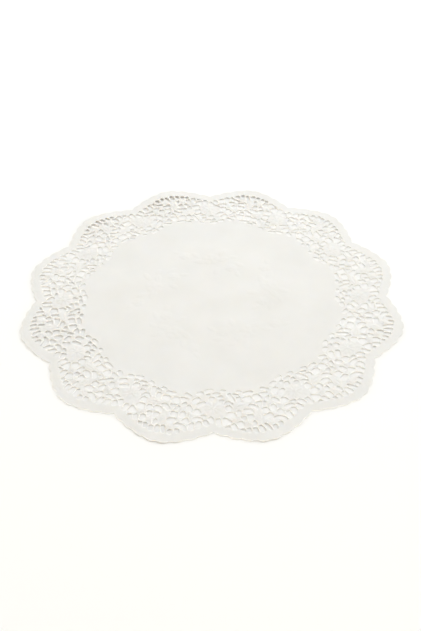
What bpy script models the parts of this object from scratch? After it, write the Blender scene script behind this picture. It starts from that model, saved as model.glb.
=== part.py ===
"""A round paper lace doily, lying flat.

Metres, +Z up. The doily lies on z = 0 with its centre on the Z axis. Its edge has
twelve lobes, and the lace between the lobes and the plain centre is one repeat for each
lobe, stamped twelve times round. Angles are in degrees, clockwise as seen from above.
The first notch of the edge points to +Y.
"""

import math
from collections import namedtuple

import bpy

NAME = "lace_doily"

MM = 0.001
ACROSS = 300 * MM  # over the tips of two opposite lobes
THICKNESS = 1 * MM  # the embossed sheet from its underside to the tops of its strands

LOBES = 12
NOTCH_DEPTH = 12.8 * MM  # from the circle over the lobe tips in to a notch
LOBE_POWER = 1.45  # of the fall from a tip to a notch: 1 is straight, 2 is round
NOTCH_ROUND = 0.05  # the reach of the rounding in a notch, as a share of half a lobe
SCALLOPS = 8  # small scallops along each lobe
SCALLOP_DEPTH = 1.2 * MM
POINTS_PER_SCALLOP = 5

# The shoulders of a gap stand at this share of its half width, so that its six points
# make an oval and not a diamond.
SHOULDER = 0.6

PAPER_COLOUR = (0.87, 0.86, 0.81, 1.0)
PAPER_ROUGHNESS = 0.75

# The larger gaps of one repeat, in rows from the edge inwards. angle is from the middle
# of the lobe and radius from the centre of the doily; width is along the edge and height
# towards it, both in millimetres; lean turns the gap clockwise; taper above 0 widens its
# outer end and narrows its inner one.
Gap = namedtuple("Gap", "angle radius width height lean taper")
GAPS = (
    # under the plain rim
    Gap(-14.2, 126.4, 3.2, 6.0, -37, 0),
    Gap(-10.6, 131.0, 3.4, 5.8, 12, 0),
    Gap(-8.3, 132.7, 3.4, 7.0, 0, 0),
    Gap(-5.8, 133.4, 8.8, 3.2, 34, 0),
    Gap(-0.8, 137.8, 2.6, 7.2, -20, 0),
    Gap(1.1, 138.7, 2.8, 7.0, -8, 0.2),
    Gap(6.6, 132.2, 3.8, 6.4, 4, 0),
    Gap(8.8, 133.2, 3.0, 5.4, -22, 0.3),
    Gap(11.0, 128.4, 4.4, 6.6, -21, 0.5),
    Gap(13.3, 128.6, 3.4, 7.0, -8, 0),
    # round the flowers
    Gap(-10.1, 125.3, 6.6, 3.0, 0, 0),
    Gap(-6.5, 127.8, 4.0, 4.4, 4, 0.4),
    Gap(-2.2, 128.5, 6.4, 3.2, -12, 0),
    Gap(-5.0, 122.6, 3.6, 5.6, 0, 0.2),
    Gap(-2.3, 123.0, 4.2, 4.8, -10, 0.2),
    Gap(3.4, 121.0, 6.8, 3.6, 14, 0),
    Gap(6.5, 122.2, 3.2, 5.2, 4, 0),
    Gap(9.2, 122.4, 5.2, 4.6, 0, 0.2),
    # round the rosette and the leaf
    Gap(-9.6, 119.2, 5.0, 4.6, 0, 0.4),
    Gap(1.1, 117.6, 6.8, 3.2, 33, 0),
    Gap(-10.8, 112.1, 2.6, 6.6, 52, 0),
    # towards the plain centre
    Gap(-8.8, 108.6, 3.2, 6.2, 46, 0),
    Gap(-1.4, 110.0, 4.6, 5.6, 0, 0.2),
    Gap(2.3, 109.8, 5.8, 4.0, 0, 0),
    Gap(8.0, 107.0, 3.0, 8.6, -20, 0),
)


def edge_radius(angle):
    """How far out the doily's edge is, at an angle from the middle of a lobe."""
    lobe_angle = 360 / LOBES
    scallop_angle = lobe_angle / SCALLOPS
    from_middle = abs(angle) / (lobe_angle / 2)
    from_middle = max(1 - math.hypot(1 - from_middle, NOTCH_ROUND), 0)
    along_scallop = (angle / scallop_angle) % 1.0
    between_scallops = (1 - math.sin(math.pi * along_scallop)) * SCALLOP_DEPTH
    return ACROSS / 2 - NOTCH_DEPTH * from_middle**LOBE_POWER - between_scallops


def place(angle, radius):
    """The point of the sheet at an angle from the first notch and a radius."""
    turn = math.radians(angle)
    return radius * math.sin(turn), radius * math.cos(turn)


def edge_outline():
    """The whole lobed edge, with a few points on each small scallop."""
    lobe_angle = 360 / LOBES
    steps = SCALLOPS * POINTS_PER_SCALLOP
    outline = []
    for lobe in range(LOBES):
        for step in range(steps):
            angle = lobe_angle * (step / steps - 0.5)
            outline.append(place(lobe_angle * (lobe + 0.5) + angle, edge_radius(angle)))
    return outline


def gap_outline(gap, lobe):
    """The six points of one gap of one lobe."""
    angle = 360 / LOBES * (lobe + 0.5) + gap.angle
    centre_x, centre_y = place(angle, gap.radius * MM)
    turn = -math.radians(angle + gap.lean)
    half_width = gap.width / 2 * MM
    half_height = gap.height / 2 * MM
    outline = []
    for along, out in (
        (-1, 0),
        (-SHOULDER, 1),
        (SHOULDER, 1),
        (1, 0),
        (SHOULDER, -1),
        (-SHOULDER, -1),
    ):
        x = along * half_width * (1 + gap.taper * out)
        y = out * half_height
        outline.append(
            (
                centre_x + x * math.cos(turn) - y * math.sin(turn),
                centre_y + x * math.sin(turn) + y * math.cos(turn),
            )
        )
    return outline


def add_outline(curve, outline):
    """Adds a closed run of straight segments to a flat curve."""
    spline = curve.splines.new("POLY")
    spline.points.add(len(outline) - 1)
    for point, (x, y) in zip(spline.points, outline):
        point.co = (x, y, 0, 1)
    spline.use_cyclic_u = True


def paper():
    """White paper, uncoated."""
    material = bpy.data.materials.new("paper")
    material.use_nodes = True
    shader = material.node_tree.nodes["Principled BSDF"]
    shader.inputs["Base Color"].default_value = PAPER_COLOUR
    shader.inputs["Roughness"].default_value = PAPER_ROUGHNESS
    shader.inputs["Metallic"].default_value = 0.0
    return material


def doily():
    """The sheet: its lobed edge, filled to a plate, with the gaps of the lace left open."""
    curve = bpy.data.curves.new(NAME, "CURVE")
    curve.dimensions = "2D"
    curve.fill_mode = "BOTH"
    curve.extrude = THICKNESS / 2
    add_outline(curve, edge_outline())
    for lobe in range(LOBES):
        for gap in GAPS:
            add_outline(curve, gap_outline(gap, lobe))
    sheet = bpy.data.objects.new(NAME, curve)
    sheet.location.z = THICKNESS / 2
    curve.materials.append(paper())
    return sheet


def clear_scene():
    """Takes the startup objects out."""
    for thing in list(bpy.data.objects):
        bpy.data.objects.remove(thing, do_unlink=True)


clear_scene()
collection = bpy.data.collections.new("lace doily")
bpy.context.scene.collection.children.link(collection)
collection.objects.link(doily())
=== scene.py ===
import math
from collections import namedtuple

import bmesh
import bpy
import numpy as np
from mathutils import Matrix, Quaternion, Vector, kdtree
from mathutils.geometry import delaunay_2d_cdt


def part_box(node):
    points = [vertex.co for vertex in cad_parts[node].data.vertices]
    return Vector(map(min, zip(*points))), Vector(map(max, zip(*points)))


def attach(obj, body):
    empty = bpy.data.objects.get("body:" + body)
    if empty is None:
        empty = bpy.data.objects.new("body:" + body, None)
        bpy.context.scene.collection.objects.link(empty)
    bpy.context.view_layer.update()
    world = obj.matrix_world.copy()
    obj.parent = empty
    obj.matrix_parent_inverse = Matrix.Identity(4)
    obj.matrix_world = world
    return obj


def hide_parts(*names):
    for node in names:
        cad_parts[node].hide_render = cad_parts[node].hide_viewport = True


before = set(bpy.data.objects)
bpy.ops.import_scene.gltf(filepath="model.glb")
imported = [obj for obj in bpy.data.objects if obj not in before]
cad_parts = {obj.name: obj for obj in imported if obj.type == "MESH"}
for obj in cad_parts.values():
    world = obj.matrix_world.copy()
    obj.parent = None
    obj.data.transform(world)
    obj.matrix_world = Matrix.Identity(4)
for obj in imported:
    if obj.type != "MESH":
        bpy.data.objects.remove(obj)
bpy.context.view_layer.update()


# The blank: one round of thin white paper, cut with twelve lobes. Small scallops run along
# each lobe. Sizes are in millimetres of a doily 300 mm over the lobe tips, and angles in
# degrees, clockwise as seen from above, from the notch that points along +Y.

LOBES = 12
LOBE_ANGLE = 360 / LOBES
TIP_RADIUS = 150
NOTCH_DEPTH = 12.8
LOBE_POWER = 1.45  # of the fall from a tip to a notch: 1 is straight, 2 is round
NOTCH_ROUND = 0.05  # the reach of the rounding in a notch, as a share of half a lobe
SCALLOPS = 8  # along each lobe
SCALLOP_DEPTH = 1.2
EDGE_STEPS = 96  # points of the edge along each lobe


def polar(angle, radius):
    """The point at an angle and a radius, or an array of them."""
    turn = np.radians(angle)
    return np.stack((radius * np.sin(turn), radius * np.cos(turn)), axis=-1)


def turned(points, angle):
    """Points turned clockwise about the middle of the doily."""
    turn = math.radians(angle)
    spin = np.array([[math.cos(turn), -math.sin(turn)], [math.sin(turn), math.cos(turn)]])
    return np.asarray(points) @ spin


def edge_radius(angle):
    """How far out the edge is at an angle."""
    from_middle = angle % LOBE_ANGLE - LOBE_ANGLE / 2
    share = np.abs(from_middle) / (LOBE_ANGLE / 2)
    share = np.maximum(1 - np.hypot(1 - share, NOTCH_ROUND), 0)
    along_scallop = (from_middle / LOBE_ANGLE * SCALLOPS) % 1.0
    between = (1 - np.sin(math.pi * along_scallop)) * SCALLOP_DEPTH
    return TIP_RADIUS - NOTCH_DEPTH * share**LOBE_POWER - between


def lobe_turns():
    """The angle of the middle of each lobe."""
    return [LOBE_ANGLE * (lobe + 0.5) for lobe in range(LOBES)]


def edge_loop(inset=0.0):
    """The lobed edge, or a line a little inside it."""
    angle = np.arange(LOBES * EDGE_STEPS) * LOBE_ANGLE / EDGE_STEPS
    return polar(angle, edge_radius(angle) - inset)


# The flowers and leaves of the lace: paper that is left whole between the gaps. This is one
# repeat, a lobe wide, with its angles from the middle of the lobe, and the largest flower
# stands at the notch. turn and lean turn a motif clockwise.

Flower = namedtuple("Flower", "angle radius size petals turn")
FLOWERS = (
    Flower(-15.0, 115.4, 6.0, 9, 0),
    Flower(-1.9, 134.5, 2.8, 5, 0),
    Flower(4.3, 131.4, 2.8, 5, 30),
    Flower(7.9, 127.4, 1.9, 6, 0),
    Flower(-7.2, 121.7, 1.9, 6, 0),
    Flower(-4.2, 118.6, 1.6, 6, 0),
)

Leaf = namedtuple("Leaf", "angle radius length width lean")
LEAVES = (
    Leaf(0.9, 127.9, 9.0, 4.8, 8),
    Leaf(5.4, 115.6, 10.4, 5.0, 82),
    Leaf(10.0, 106.3, 5.4, 2.2, 6),
    Leaf(-6.5, 111.5, 5.6, 2.0, 38),
    Leaf(-4.2, 127.6, 4.2, 1.8, -20),
    Leaf(12.4, 121.8, 4.4, 2.0, -30),
)
LEAF_FULLNESS = 1.8  # 1 is a lozenge, and higher fills out its sides
DISCS_IN_LEAF = 9
DISC_SPAN = 0.85  # how far the row of discs reaches, as a share of half the leaf


def leaf_half_width(leaf, share):
    """Half a leaf's width, at a share of the way from its middle to its tip."""
    return leaf.width / 2 * (1 - share**LEAF_FULLNESS)


def motif_discs():
    """The motifs as discs, a row of them for each leaf: their middles and their radii."""
    middles = [polar(flower.angle, flower.radius) for flower in FLOWERS]
    radii = [flower.size for flower in FLOWERS]
    for leaf in LEAVES:
        for share in np.linspace(-DISC_SPAN, DISC_SPAN, DISCS_IN_LEAF):
            along = polar(leaf.angle + leaf.lean, share * leaf.length / 2)
            middles.append(polar(leaf.angle, leaf.radius) + along)
            radii.append(leaf_half_width(leaf, abs(share)))
    return np.array(middles), np.array(radii)


# The lace: gaps punched through the paper, the same in each repeat, with a net of thin
# strands left between them. width is along the edge. lean turns a gap clockwise, taper above
# 0 narrows its inner end, and bend lifts its two ends outwards.

Gap = namedtuple("Gap", "angle radius width height lean taper bend")
GAPS = (
    # under the rim
    Gap(-14.5, 126.2, 3.2, 5.8, -37, 0, 0),
    Gap(-12.8, 129.1, 3.0, 5.6, -26, 0, 0),
    Gap(-10.5, 131.0, 3.6, 5.8, 10, 0, 0.6),
    Gap(-8.4, 132.9, 3.4, 6.9, 0, 0, 0),
    Gap(-5.5, 133.2, 9.6, 2.6, 30, 0, 2.6),
    Gap(-4.6, 138.0, 2.8, 4.0, -12, 0, 0),
    Gap(-2.7, 139.6, 2.9, 4.4, -12, 0, 0),
    Gap(-0.8, 137.8, 2.4, 7.2, -20, 0, 0),
    Gap(1.1, 138.7, 2.7, 7.0, -8, 0.2, 0),
    Gap(3.0, 139.0, 2.7, 5.0, -2, 0, 0),
    Gap(4.8, 138.1, 2.7, 4.2, -8, 0, 0),
    Gap(6.5, 137.2, 2.6, 3.0, -6, 0, 0),
    Gap(2.6, 132.9, 2.2, 4.4, -3, 0, 0),
    Gap(6.7, 132.0, 4.0, 5.9, 4, 0, 0),
    Gap(8.8, 133.1, 3.3, 5.6, -18, 0.4, 0),
    Gap(11.0, 127.9, 4.9, 6.6, -21, 0.7, 0),
    Gap(10.8, 133.1, 3.2, 1.6, -6, 0, 0),
    Gap(13.3, 128.6, 3.4, 6.9, -8, 0, 0),
    # round the flowers
    Gap(-10.1, 125.4, 7.0, 2.6, 0, 0, 1.1),
    Gap(-11.9, 122.7, 4.0, 1.7, 6, 0, 0),
    Gap(-6.4, 127.7, 4.3, 4.4, 4, 0.5, 0),
    Gap(-2.2, 128.5, 6.5, 3.4, -12, 0, 0.6),
    Gap(-5.0, 122.5, 3.8, 5.7, 0, 0.3, 0),
    Gap(-2.3, 122.9, 4.5, 4.9, -10, 0.2, 0),
    Gap(3.3, 126.2, 3.8, 3.7, 0, -0.3, 0),
    Gap(5.4, 126.9, 3.1, 4.3, 0, -0.3, 0),
    Gap(3.4, 120.8, 7.0, 3.2, 14, 0, 1.4),
    Gap(6.4, 121.9, 3.3, 4.9, 4, 0, 0),
    Gap(9.2, 122.4, 5.7, 4.7, 0, 0.2, 0),
    # round the leaf
    Gap(-9.6, 119.1, 5.2, 4.6, 0, 0.5, 0),
    Gap(-7.0, 116.5, 2.9, 5.9, -32, 0, 0),
    Gap(-2.8, 117.3, 2.3, 4.8, 30, 0, 0),
    Gap(-1.2, 115.5, 3.5, 3.3, 0, -0.2, 0),
    Gap(1.1, 117.5, 7.3, 2.7, 33, 0, 1.6),
    Gap(9.6, 116.3, 4.0, 4.6, 0, 0.3, 0),
    Gap(9.5, 111.3, 6.4, 2.1, -2, 0, 3.0),
    Gap(-10.7, 111.9, 2.7, 6.5, 52, 0, 0),
    Gap(-8.7, 108.5, 3.4, 6.3, 46, 0, 0),
    # towards the plain centre
    Gap(-4.8, 113.2, 2.3, 4.8, 32, 0, 0),
    Gap(-4.3, 108.7, 4.3, 3.6, 4, -0.6, 0),
    Gap(-1.4, 110.0, 4.8, 5.7, 0, 0.2, 0),
    Gap(2.3, 109.8, 5.8, 4.4, 0, 0, 0),
    Gap(5.5, 109.1, 3.1, 5.1, -5, 0, 0),
    Gap(8.1, 106.8, 3.0, 8.6, -20, -0.2, 0),
    Gap(6.3, 104.2, 4.0, 1.4, 26, 0, 0),
    Gap(11.9, 109.0, 3.2, 2.8, 0, 0.3, 0),
    Gap(-14.5, 106.8, 3.4, 4.2, 8, 0, 0),
    Gap(12.2, 105.3, 3.0, 2.8, 0, 0, 0),
    Gap(13.8, 102.4, 5.2, 2.1, -8, 0, 0),
    Gap(-13.3, 103.1, 2.6, 1.9, -12, 0, 0),
    Gap(-13.2, 99.0, 5.8, 2.6, -22, 0, 0),
    Gap(-9.9, 101.8, 4.7, 2.6, -15, 0, 0),
    Gap(-5.5, 104.4, 5.7, 2.6, 33, 0, 0),
    Gap(1.4, 104.1, 7.2, 2.2, 1, 0, 0),
    Gap(4.6, 101.9, 3.6, 2.0, 20, 0, 0),
    Gap(10.8, 99.6, 3.2, 1.9, 18, 0, 0),
)
GAP_STEPS = 16  # points round each gap
SQUARENESS = 3.2  # 2 is an ellipse, and higher fills the corners
BEND_SINK = 0.4  # how far a bent gap's middle sinks, as a share of its bend
STRAND_WIDTH = 1.0
MOTIF_MARGIN = 0.4  # between a gap and a flower or a leaf
BAND_WIDTH = 8.0  # of the plain rim
LACE_START = 97.2  # the radius of the plain centre
MOST_GROWTH = 0.5  # of a gap, until the strands beside it are even
GROWTH_STEP = 0.1
KINK_PULL = 0.5  # takes a kink out
KINK_RETURN = 0.52  # gives the gap its size back


def gap_outline(gap):
    """The outline of one gap, as its row of the table gives it."""
    turn = 2 * math.pi * (np.arange(GAP_STEPS) + 0.5) / GAP_STEPS
    x = np.sign(np.cos(turn)) * np.abs(np.cos(turn)) ** (2 / SQUARENESS)
    y = np.sign(np.sin(turn)) * np.abs(np.sin(turn)) ** (2 / SQUARENESS)
    x *= 1 + gap.taper * y
    rise = y * gap.height / 2 + gap.bend * (x**2 - BEND_SINK)
    across = polar(gap.angle + gap.lean + 90, gap.width / 2)
    outwards = polar(gap.angle + gap.lean, 1)
    return polar(gap.angle, gap.radius) + x[:, None] * across + rise[:, None] * outwards


def outward(loops):
    """The unit direction that leads out of each gap, at each point of its outline."""
    along = np.roll(loops, -1, axis=1) - np.roll(loops, 1, axis=1)
    across = np.stack((along[..., 1], -along[..., 0]), axis=-1)
    return across / np.linalg.norm(across, axis=-1, keepdims=True)


def distances(points, others):
    """The distance from each point to each of the others."""
    apart = points[:, None] - others[None]
    return np.hypot(apart[..., 0], apart[..., 1])


def free_room(loops):
    """How far each point of the outlines may move out, or below 0 must move in."""
    points = loops.reshape(-1, 2)
    owner = np.repeat(np.arange(len(loops)), GAP_STEPS)
    radius = np.hypot(points[:, 0], points[:, 1])
    angle = np.degrees(np.arctan2(points[:, 0], points[:, 1]))
    band = edge_radius(angle + LOBE_ANGLE / 2) - BAND_WIDTH
    room = np.minimum(band - radius, radius - LACE_START)
    middles, radii = motif_discs()
    strand = np.full(len(points), np.inf)
    for repeat in (-LOBE_ANGLE, 0, LOBE_ANGLE):
        from_motif = distances(points, turned(middles, repeat)) - radii
        room = np.minimum(room, from_motif.min(axis=1) - MOTIF_MARGIN)
        apart = distances(points, turned(points, repeat))
        if repeat == 0:
            apart[owner[:, None] == owner[None]] = np.inf
        strand = np.minimum(strand, apart.min(axis=1))
    room = np.minimum(np.maximum(room, 0), (strand - STRAND_WIDTH) / 2)
    return room.reshape(len(loops), GAP_STEPS, 1)


def without_kinks(loops):
    """The outlines with small kinks taken out, by moves inwards and back that keep their size."""
    for share in (KINK_PULL, -KINK_RETURN) * 2:
        between = (np.roll(loops, 1, axis=1) + np.roll(loops, -1, axis=1)) / 2
        loops = loops + (between - loops) * share
    return loops


def punched_gaps():
    """The gaps of one repeat, grown or drawn in until even strands part them."""
    loops = np.array([gap_outline(gap) for gap in GAPS])
    for _ in range(round(MOST_GROWTH / GROWTH_STEP)):
        grow = np.clip(free_room(loops), -GROWTH_STEP, GROWTH_STEP)
        loops = loops + outward(loops) * grow
    return without_kinks(loops)


gap_loops = punched_gaps()


# The stamping: the press that punches the gaps also rounds the cuts, domes the petals and
# leaves, sinks a fine line inside the edge, and leaves a faint wreath of sprays in the plain
# centre. The pressed sheet waves a little, and stands off the table in places.

SHEET_HEIGHT = 0.48  # of its upper face over its underside
GAP_EDGE_HEIGHT = 0.42
GAP_SHOULDER = 0.2  # how wide the rounding beside a gap is
RIM_EDGE_HEIGHT = 0.46
RIM_SHOULDER = 0.7
LINE_INSET = 2.2
LINE_WIDTH = 0.32
LINE_DEPTH = 0.12

PETAL_HEIGHT = 0.28
PETAL_NOTCH = 0.16  # between two petals, as a share of the flower's size
PETAL_ROUND = 0.5  # the power that rounds a petal's end
CREASE_FLOOR = 0.3  # what is left of a petal's height in the crease beside it
CREASE_POWER = 0.6
BOSS_SIZE = 0.26  # of the flower's size
BOSS_HEIGHT = 0.6  # of a petal's height
LEAF_HEIGHT = 0.26
LEAF_TIP_POWER = 6  # how late the blade sinks towards its tip
LEAST_HALF_WIDTH = 0.01  # keeps a leaf's tips from dividing by 0
MIDRIB_WIDTH = 0.45
MIDRIB_DEPTH = 0.75
VEIN_SPACING = 2.2
VEIN_SLANT = 0.7
VEIN_DEPTH = 0.3

SPRAYS = 5
SPRAY_FLOWERS = (
    Flower(0, 48, 7.0, 5, 0),
    Flower(24, 40, 4.6, 5, 20),
    Flower(-22, 57, 4.6, 5, 0),
)
SPRAY_LEAVES = (
    Leaf(12, 49, 13, 5.0, 60),
    Leaf(-11, 46, 12, 5.0, -70),
    Leaf(-13, 55, 10, 4.0, -30),
    Leaf(10, 58, 12, 4.2, 30),
    Leaf(20, 54, 9, 3.4, 70),
    Leaf(30, 47, 10, 3.6, 95),
    Leaf(36, 36, 9, 3.4, 130),
    Leaf(8, 33, 11, 4.0, 10),
    Leaf(-26, 64, 8, 3.0, -50),
)
WREATH_SHARE = 0.6  # of the height of the motifs in the lace

LACE_RISE = 0.10  # how far the lace stands off the table
RISE_WIDTH = 7.0  # over which it rises from the plain centre
Lift = namedtuple("Lift", "angle radius spread height")
LIFTS = (
    Lift(15, 158, 24, 0.8),
    Lift(45, 156, 18, 0.3),
    Lift(105, 157, 20, 0.25),
    Lift(165, 158, 18, 0.3),
    Lift(195, 158, 18, 0.4),
    Lift(255, 118, 34, 0.3),
    Lift(315, 160, 26, 0.9),
    Lift(345, 160, 28, 1.4),
)
Wave = namedtuple("Wave", "angle length height start")
WAVES = (
    Wave(6, 44, 0.30, 0.0),
    Wave(-17, 29, 0.16, 0.3),
    Wave(33, 63, 0.26, 0.6),
    Wave(84, 82, 0.22, 0.1),
)
WAVES_END = 90  # the radius by which the waves have died out
WAVES_FADE = 1.5  # how suddenly they do


def motif_axes(plan, angle, radius, lean):
    """Every point's place across and along a motif, from the motif's own middle."""
    away = plan - polar(angle, radius)
    across = away @ polar(angle + lean + 90, 1)
    along = away @ polar(angle + lean, 1)
    return across, along


def dome(out):
    """The height of a round dome: 1 in its middle, and 0 where out is 1 or more."""
    return np.sqrt(np.clip(1 - out**2, 0, 1))


def flower_relief(plan, flower, turn):
    """Domed petals round a small boss, with a crease between each two petals."""
    across, along = motif_axes(plan, turn + flower.angle, flower.radius, flower.turn)
    out = np.hypot(across, along)
    petal = np.abs(np.cos(flower.petals / 2 * np.arctan2(across, along)))
    reach = flower.size * (1 - PETAL_NOTCH + PETAL_NOTCH * petal**PETAL_ROUND)
    crease = CREASE_FLOOR + (1 - CREASE_FLOOR) * petal**CREASE_POWER
    boss = dome(out / (BOSS_SIZE * flower.size))
    return PETAL_HEIGHT * (dome(out / reach) * crease + BOSS_HEIGHT * boss)


def leaf_relief(plan, leaf, turn):
    """A pointed blade, domed across, with its midrib and side veins sunk."""
    across, along = motif_axes(plan, turn + leaf.angle, leaf.radius, leaf.lean)
    share = np.clip(np.abs(along) / (leaf.length / 2), 0, 1)
    half_width = np.maximum(leaf_half_width(leaf, share), LEAST_HALF_WIDTH)
    inside = np.clip(1 - np.abs(across) / half_width, 0, 1)
    blade = dome(1 - inside) * (1 - share**LEAF_TIP_POWER)
    midrib = np.exp(-((across / MIDRIB_WIDTH) ** 2))
    between_veins = 2 * math.pi * (along - VEIN_SLANT * np.abs(across)) / VEIN_SPACING
    veins = 0.5 + 0.5 * np.cos(between_veins)
    return LEAF_HEIGHT * blade * (1 - MIDRIB_DEPTH * midrib) * (1 - VEIN_DEPTH + VEIN_DEPTH * veins)


def group_relief(plan, flowers, leaves, turns):
    """The relief of a group of flowers and leaves, repeated at each turn."""
    height = np.zeros(len(plan))
    for turn in turns:
        for flower in flowers:
            height = np.maximum(height, flower_relief(plan, flower, turn))
        for leaf in leaves:
            height = np.maximum(height, leaf_relief(plan, leaf, turn))
    return height


def motif_relief(plan):
    """All the raised motifs, of the lace and of the wreath."""
    lace = group_relief(plan, FLOWERS, LEAVES, lobe_turns())
    spray_turns = [360 / SPRAYS * spray for spray in range(SPRAYS)]
    wreath = group_relief(plan, SPRAY_FLOWERS, SPRAY_LEAVES, spray_turns)
    return np.maximum(lace, WREATH_SHARE * wreath)


def nearest(targets, plan):
    """The distance from every point of the plan to the nearest target."""
    tree = kdtree.KDTree(len(targets))
    for index, (x, y) in enumerate(targets):
        tree.insert((x, y, 0), index)
    tree.balance()
    return np.array([tree.find((x, y, 0))[2] for x, y in plan])


def with_midpoints(loops):
    """The points of closed outlines, and one more between each two."""
    between = (loops + np.roll(loops, -1, axis=-2)) / 2
    return np.concatenate((loops.reshape(-1, 2), between.reshape(-1, 2)))


def all_round(points):
    """The points of one repeat, in every lobe."""
    return np.concatenate([turned(points, turn) for turn in lobe_turns()])


def stamped_height(plan):
    """The height of the paper's upper face over its underside."""
    from_gap = nearest(all_round(with_midpoints(gap_loops)), plan)
    from_gap = np.clip(from_gap / GAP_SHOULDER, 0, 1)
    lace = GAP_EDGE_HEIGHT + (SHEET_HEIGHT - GAP_EDGE_HEIGHT) * dome(1 - from_gap)
    from_edge = np.clip(nearest(with_midpoints(edge_loop()), plan) / RIM_SHOULDER, 0, 1)
    rim = RIM_EDGE_HEIGHT + (SHEET_HEIGHT - RIM_EDGE_HEIGHT) * np.sin(from_edge * math.pi / 2)
    line = np.exp(-((nearest(edge_loop(LINE_INSET), plan) / LINE_WIDTH) ** 2))
    return np.minimum(lace, rim) + motif_relief(plan) - LINE_DEPTH * line


def eased(share):
    """0 to 1, slow at both ends."""
    share = np.clip(share, 0, 1)
    return share**2 * (3 - 2 * share)


def underside(plan):
    """How far the paper stands off the table."""
    angle = np.degrees(np.arctan2(plan[:, 0], plan[:, 1]))
    radius = np.hypot(plan[:, 0], plan[:, 1])
    from_centre = eased((radius - LACE_START) / RISE_WIDTH)
    from_edge = eased((edge_radius(angle) - radius) / BAND_WIDTH)
    height = LACE_RISE * from_centre * from_edge
    for lift in LIFTS:
        away = plan - polar(lift.angle, lift.radius)
        height += lift.height * np.exp(-(away**2).sum(axis=1) / lift.spread**2)
    for wave in WAVES:
        along = plan @ polar(wave.angle, 1) / wave.length + wave.start
        crest = 0.5 + 0.5 * np.sin(2 * math.pi * along)
        height += wave.height * crest * eased(WAVES_FADE - WAVES_FADE * radius / WAVES_END)
    return height


# The sheet: the punched and stamped paper as one closed shell. Its points lie on the cuts,
# in rings beside them, and on a net between, which is closest over the flowers and leaves.
# They are joined by triangulation, above and below, because a fill operator takes no points
# between outlines and joins some faces wrongly among so many gaps.

RING_INSETS = (0.2, 0.46)
RING_SPACING = 0.3
RING_CLEARANCE = 0.8  # between a ring and the next cut, as a share of the first inset
LACE_STEP = 1.0
MOTIF_STEP = 0.55
WREATH_STEP = 1.0
WREATH_RADIUS = 70
PLAIN_STEP = 2.6
NET_SPACING = 0.45
NET_ROW = math.sqrt(3) / 2  # between the rows of a triangular net, as a share of its step
JOIN_INSIDE = 1  # makes triangles inside the outlines only
JOIN_TOLERANCE = 1e-5
SHARP_ANGLE = 55


def net(step, inner, outer):
    """A triangular net of points between two radii."""
    points = []
    for row, radius in enumerate(np.arange(max(inner, step / 2), outer, step * NET_ROW)):
        count = max(1, round(math.radians(LOBE_ANGLE) * radius / step))
        angle = LOBE_ANGLE * (np.arange(LOBES * count) + row % 2 / 2) / count
        points.append(polar(angle, radius))
    return np.concatenate(points)


def motif_net():
    """A fine net over each flower and leaf of the lace."""
    rounds = [(flower.angle, flower.radius, flower.size) for flower in FLOWERS]
    rounds += [(leaf.angle, leaf.radius, leaf.length / 2) for leaf in LEAVES]
    points = []
    for angle, radius, reach in rounds:
        steps = math.ceil(reach / MOTIF_STEP)
        for row in range(-steps, steps + 1):
            columns = np.arange(-steps, steps + 1) + row % 2 / 2
            offsets = np.stack((columns, np.full(len(columns), row * NET_ROW)), axis=-1)
            offsets = offsets[np.hypot(offsets[:, 0], offsets[:, 1]) * MOTIF_STEP < reach]
            points.append(polar(angle, radius) + turned(offsets * MOTIF_STEP, angle))
    return all_round(np.concatenate(points))


def cells(points, spacing):
    """The square of a grid that each point is in."""
    return [tuple(cell) for cell in np.round(np.asarray(points) / spacing).astype(int)]


def thinned(kept, points, spacing):
    """The points that don't crowd the kept ones or each other."""
    taken = set(cells(kept, spacing))
    free = []
    for point, cell in zip(points, cells(points, spacing)):
        if cell not in taken:
            taken.add(cell)
            free.append(point)
    return np.array(free)


def ring_points(close_cuts):
    """The points of the rings beside the cuts."""
    rings = [edge_loop(inset) for inset in RING_INSETS]
    for inset in RING_INSETS:
        rings.append(all_round((gap_loops + outward(gap_loops) * inset).reshape(-1, 2)))
    rings = np.concatenate(rings)
    return rings[nearest(close_cuts, rings) > RING_CLEARANCE * RING_INSETS[0]]


def net_points(close_cuts):
    """The points of the nets: over the wreath, over the plain paper round it, over the lace."""
    lace = np.concatenate((motif_net(), net(LACE_STEP, LACE_START, TIP_RADIUS)))
    angle = np.degrees(np.arctan2(lace[:, 0], lace[:, 1]))
    lace = lace[np.hypot(lace[:, 0], lace[:, 1]) < edge_radius(angle) - RING_INSETS[-1]]
    lace = lace[nearest(close_cuts, lace) > RING_INSETS[-1] + RING_SPACING]
    wreath = net(WREATH_STEP, 0, WREATH_RADIUS)
    plain = net(PLAIN_STEP, WREATH_RADIUS, LACE_START)
    return np.concatenate((wreath, plain, lace))


def cut_outlines():
    """The edge, and the outline of every gap, all anticlockwise."""
    cuts = [edge_loop()[::-1]]
    for turn in lobe_turns():
        cuts += [turned(loop, turn) for loop in gap_loops]
    return cuts


def joined(points, cuts):
    """The triangles that join the points, which start with the cuts' own. Gaps stay open."""
    outlines = []
    first = 0
    for cut in cuts:
        outlines.append(list(range(first, first + len(cut))))
        first += len(cut)
    flat = [Vector(point) for point in points]
    result = delaunay_2d_cdt(flat, [], outlines, JOIN_INSIDE, JOIN_TOLERANCE)
    _, _, faces, _, _, within = result
    return [face for face, inside in zip(faces, within) if inside == [0]]


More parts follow.
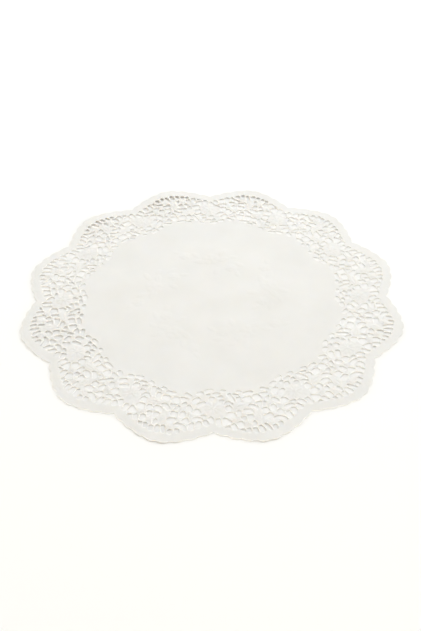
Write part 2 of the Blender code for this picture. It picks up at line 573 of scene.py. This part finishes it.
def punched_mesh(cuts):
    """The upper face as a flat bmesh, in millimetres, open at the gaps."""
    close_cuts = np.concatenate([with_midpoints(cut) for cut in cuts])
    points = np.concatenate(cuts)
    points = np.concatenate((points, thinned(points, ring_points(close_cuts), RING_SPACING)))
    points = np.concatenate((points, thinned(points, net_points(close_cuts), NET_SPACING)))
    sheet = bmesh.new()
    vertices = [sheet.verts.new((x, y, 0)) for x, y in points]
    for face in joined(points, cuts):
        sheet.faces.new([vertices[index] for index in face])
    loose = [vertex for vertex in sheet.verts if not vertex.link_faces]
    bmesh.ops.delete(sheet, geom=loose, context="VERTS")
    return sheet


def close_below(sheet, cuts):
    """Gives the sheet its cut walls and its underside, and returns their low points."""
    rim = [edge for edge in sheet.edges if edge.is_boundary]
    walls = bmesh.ops.extrude_edge_only(sheet, edges=rim)["geom"]
    low = [part for part in walls if isinstance(part, bmesh.types.BMVert)]
    bmesh.ops.translate(sheet, verts=low, vec=(0, 0, -1))
    below = {vertex.co.xy.to_tuple(): vertex for vertex in low}
    points = np.concatenate(cuts)
    vertices = [below[Vector(point).to_tuple()] for point in points]
    for face in joined(points, cuts):
        sheet.faces.new([vertices[index] for index in reversed(face)])
    return low


cuts = cut_outlines()
sheet = punched_mesh(cuts)
upper = list(sheet.verts)
low = close_below(sheet, cuts)
plan = np.array([vertex.co.xy for vertex in upper])
for vertex, height in zip(upper, stamped_height(plan) + underside(plan)):
    vertex.co.z = height
plan = np.array([vertex.co.xy for vertex in low])
for vertex, height in zip(low, underside(plan)):
    vertex.co.z = height
bmesh.ops.recalc_face_normals(sheet, faces=sheet.faces)
widest = edge_loop()[:, 0].max()
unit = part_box("lace_doily")[1].x / widest  # metres for each millimetre of the design
bmesh.ops.scale(sheet, vec=(unit, unit, unit), verts=sheet.verts)
doily_mesh = bpy.data.meshes.new("lace_doily_paper")
sheet.to_mesh(doily_mesh)
sheet.free()
doily_mesh.shade_smooth()
doily_mesh.set_sharp_from_angle(angle=math.radians(SHARP_ANGLE))
doily = bpy.data.objects.new("lace_doily_paper", doily_mesh)
bpy.context.scene.collection.objects.link(doily)


# The paper: white, a little warm, uncoated and matt, with its fibres just showing and the
# slight clouds of thicker and thinner stock that any sheet has. Light soaks a little way
# into it, so that the cuts stay soft. From here on, lengths are in metres.

PAPER_WHITE = (0.808, 0.788, 0.752, 1.0)
PAPER_CLOUD = (0.695, 0.673, 0.622, 1.0)
PAPER_ROUGHNESS = 0.68
PAPER_SPECULAR = 0.25
CLOUD_SCALE = 32
CLOUD_DETAIL = 3.0
CLOUD_SHARE = 0.7  # of the tone's change, and the fibres make the rest
FIBRE_SCALE = 1900
FIBRE_DETAIL = 4.0
FIBRE_TANGLE = 1.2
FIBRE_SHARE = 0.3
FIBRE_ROUGHNESS = 0.12
FIBRE_HEIGHT = 0.00002
FIBRE_STRENGTH = 0.6
SOAK_SHARE = 0.4
SOAK_DEPTH = 0.0008
SOAK_COLOURS = (1.0, 0.85, 0.65)  # how deep red, green and blue go, as shares of the depth


class Socket:
    """An output in a shader's node tree. Sums on it are written as they read."""

    def __init__(self, tree, output):
        self.tree = tree
        self.output = output

    @classmethod
    def of_node(cls, tree, kind, settings, inputs, output):
        """Adds a node with its settings and inputs, and wraps one of its outputs."""
        node = tree.nodes.new(kind)
        for name, value in settings.items():
            setattr(node, name, value)
        for name, value in inputs.items():
            if isinstance(value, Socket):
                value.feed(node.inputs[name])
            else:
                node.inputs[name].default_value = value
        return cls(tree, node.outputs[output])

    def feed(self, other):
        """Links the output to another node's input."""
        self.tree.links.new(self.output, other)

    def maths(self, operation, first, second):
        """Adds a Math node, which works on two sockets or on a socket and a number."""
        settings = {"operation": operation}
        return Socket.of_node(self.tree, "ShaderNodeMath", settings, {0: first, 1: second}, 0)

    def __add__(self, other):
        return self.maths("ADD", self, other)

    def __mul__(self, other):
        return self.maths("MULTIPLY", self, other)

    def __rsub__(self, other):
        return self.maths("SUBTRACT", other, self)

    def __pow__(self, other):
        return self.maths("POWER", self, other)

    __radd__ = __add__
    __rmul__ = __mul__

    def mix(self, low, high):
        """The colour between two colours, low where the socket is 0 and high where it is 1."""
        inputs = {"Factor": self, "A": low, "B": high}
        return Socket.of_node(self.tree, "ShaderNodeMix", {"data_type": "RGBA"}, inputs, "Result")


def noise(place, scale, detail, tangle=0.0):
    """A cloudy pattern, from 0 to 1, at a place."""
    inputs = {"Vector": place, "Scale": scale, "Detail": detail, "Distortion": tangle}
    return Socket.of_node(place.tree, "ShaderNodeTexNoise", {}, inputs, "Fac")


def paper_material():
    """The matt white paper."""
    material = bpy.data.materials.new("doily_paper")
    material.use_nodes = True
    tree = material.node_tree
    shader = tree.nodes["Principled BSDF"].inputs
    place = Socket.of_node(tree, "ShaderNodeTexCoord", {}, {}, "Object")
    clouds = noise(place, CLOUD_SCALE, CLOUD_DETAIL)
    fibres = noise(place, FIBRE_SCALE, FIBRE_DETAIL, FIBRE_TANGLE)
    tone = clouds * CLOUD_SHARE + fibres * FIBRE_SHARE
    tone.mix(PAPER_WHITE, PAPER_CLOUD).feed(shader["Base Color"])
    rough = PAPER_ROUGHNESS + fibres * FIBRE_ROUGHNESS
    rough.feed(shader["Roughness"])
    nap = {"Height": fibres, "Distance": FIBRE_HEIGHT, "Strength": FIBRE_STRENGTH}
    Socket.of_node(tree, "ShaderNodeBump", {}, nap, "Normal").feed(shader["Normal"])
    shader["Specular IOR Level"].default_value = PAPER_SPECULAR
    shader["Subsurface Weight"].default_value = SOAK_SHARE
    shader["Subsurface Radius"].default_value = SOAK_COLOURS
    shader["Subsurface Scale"].default_value = SOAK_DEPTH
    return material


doily_mesh.materials.append(paper_material())
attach(doily, "root")
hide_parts("lace_doily")


# The studio: a white table in a tent of soft warm light, which is brightest low round its
# sides and fills the gaps. A cool main light stands high behind the doily, so that the near
# face of every cut is in shade.

FLOOR_SIZE = 30.0
FLOOR_WHITE = (0.912, 0.893, 0.856, 1.0)
FLOOR_ROUGHNESS = 0.9
TENT_COLOUR = (1.0, 0.966, 0.914, 1.0)
OVERHEAD_LIGHT = 0.21
SIDE_LIGHT = 5.95
SIDE_NARROWING = 2.8  # how fast the side light fades with height
MAIN_COLOUR = (0.77, 0.88, 1.0)
MAIN_PLACE = (1.00, 2.60, 2.00)
MAIN_SIZE = 0.5
MAIN_POWER = 76

floor_mesh = bmesh.new()
bmesh.ops.create_grid(floor_mesh, x_segments=1, y_segments=1, size=FLOOR_SIZE / 2)
floor_data = bpy.data.meshes.new("studio_floor")
floor_mesh.to_mesh(floor_data)
floor_mesh.free()
floor = bpy.data.objects.new("studio_floor", floor_data)
bpy.context.scene.collection.objects.link(floor)
floor_material = bpy.data.materials.new("white_table")
floor_material.use_nodes = True
floor_shader = floor_material.node_tree.nodes["Principled BSDF"]
floor_shader.inputs["Base Color"].default_value = FLOOR_WHITE
floor_shader.inputs["Roughness"].default_value = FLOOR_ROUGHNESS
floor_data.materials.append(floor_material)

world = bpy.data.worlds.new("studio")
world.use_nodes = True
tent = world.node_tree
overhead = tent.nodes["Background"]
overhead.inputs["Color"].default_value = TENT_COLOUR
overhead.inputs["Strength"].default_value = OVERHEAD_LIGHT
direction = Socket.of_node(tent, "ShaderNodeTexCoord", {}, {}, "Generated")
upward = Socket.of_node(tent, "ShaderNodeSeparateXYZ", {}, {"Vector": direction}, "Z")
side_strength = SIDE_LIGHT * (1 - upward) ** SIDE_NARROWING
side_inputs = {"Color": TENT_COLOUR, "Strength": side_strength}
sides = Socket.of_node(tent, "ShaderNodeBackground", {}, side_inputs, "Background")
layers = {0: Socket(tent, overhead.outputs["Background"]), 1: sides}
tent_light = Socket.of_node(tent, "ShaderNodeAddShader", {}, layers, "Shader")
tent_light.feed(tent.nodes["World Output"].inputs["Surface"])
bpy.context.scene.world = world

lamp = bpy.data.lights.new("light_behind", "AREA")
lamp.shape = "SQUARE"
lamp.size = MAIN_SIZE
lamp.energy = MAIN_POWER
lamp.color = MAIN_COLOUR
main_light = bpy.data.objects.new("light_behind", lamp)
main_light.location = MAIN_PLACE
main_light.rotation_euler = (-Vector(MAIN_PLACE)).to_track_quat("-Z", "Y").to_euler()
bpy.context.scene.collection.objects.link(main_light)

CAMERA_LENS = 53.2
CAMERA_SENSOR = 36.0
CAMERA_DISTANCE = 0.7171
CAMERA_ELEVATION = 42.38
CAMERA_ROLL = -0.8
CAMERA_AIM = (-0.0008, -0.0195, 0.0)

camera_data = bpy.data.cameras.new("camera")
camera_data.lens = CAMERA_LENS
camera_data.sensor_width = CAMERA_SENSOR
camera = bpy.data.objects.new("camera", camera_data)
rise = math.radians(CAMERA_ELEVATION)
back = Vector((0, -math.cos(rise), math.sin(rise)))
camera.location = Vector(CAMERA_AIM) + back * CAMERA_DISTANCE
facing = (-back).to_track_quat("-Z", "Y")
roll = Quaternion((0, 0, 1), math.radians(CAMERA_ROLL))
camera.rotation_euler = (facing @ roll).to_euler()
bpy.context.scene.collection.objects.link(camera)
bpy.context.scene.camera = camera

bpy.context.scene.view_settings.view_transform = "Standard"
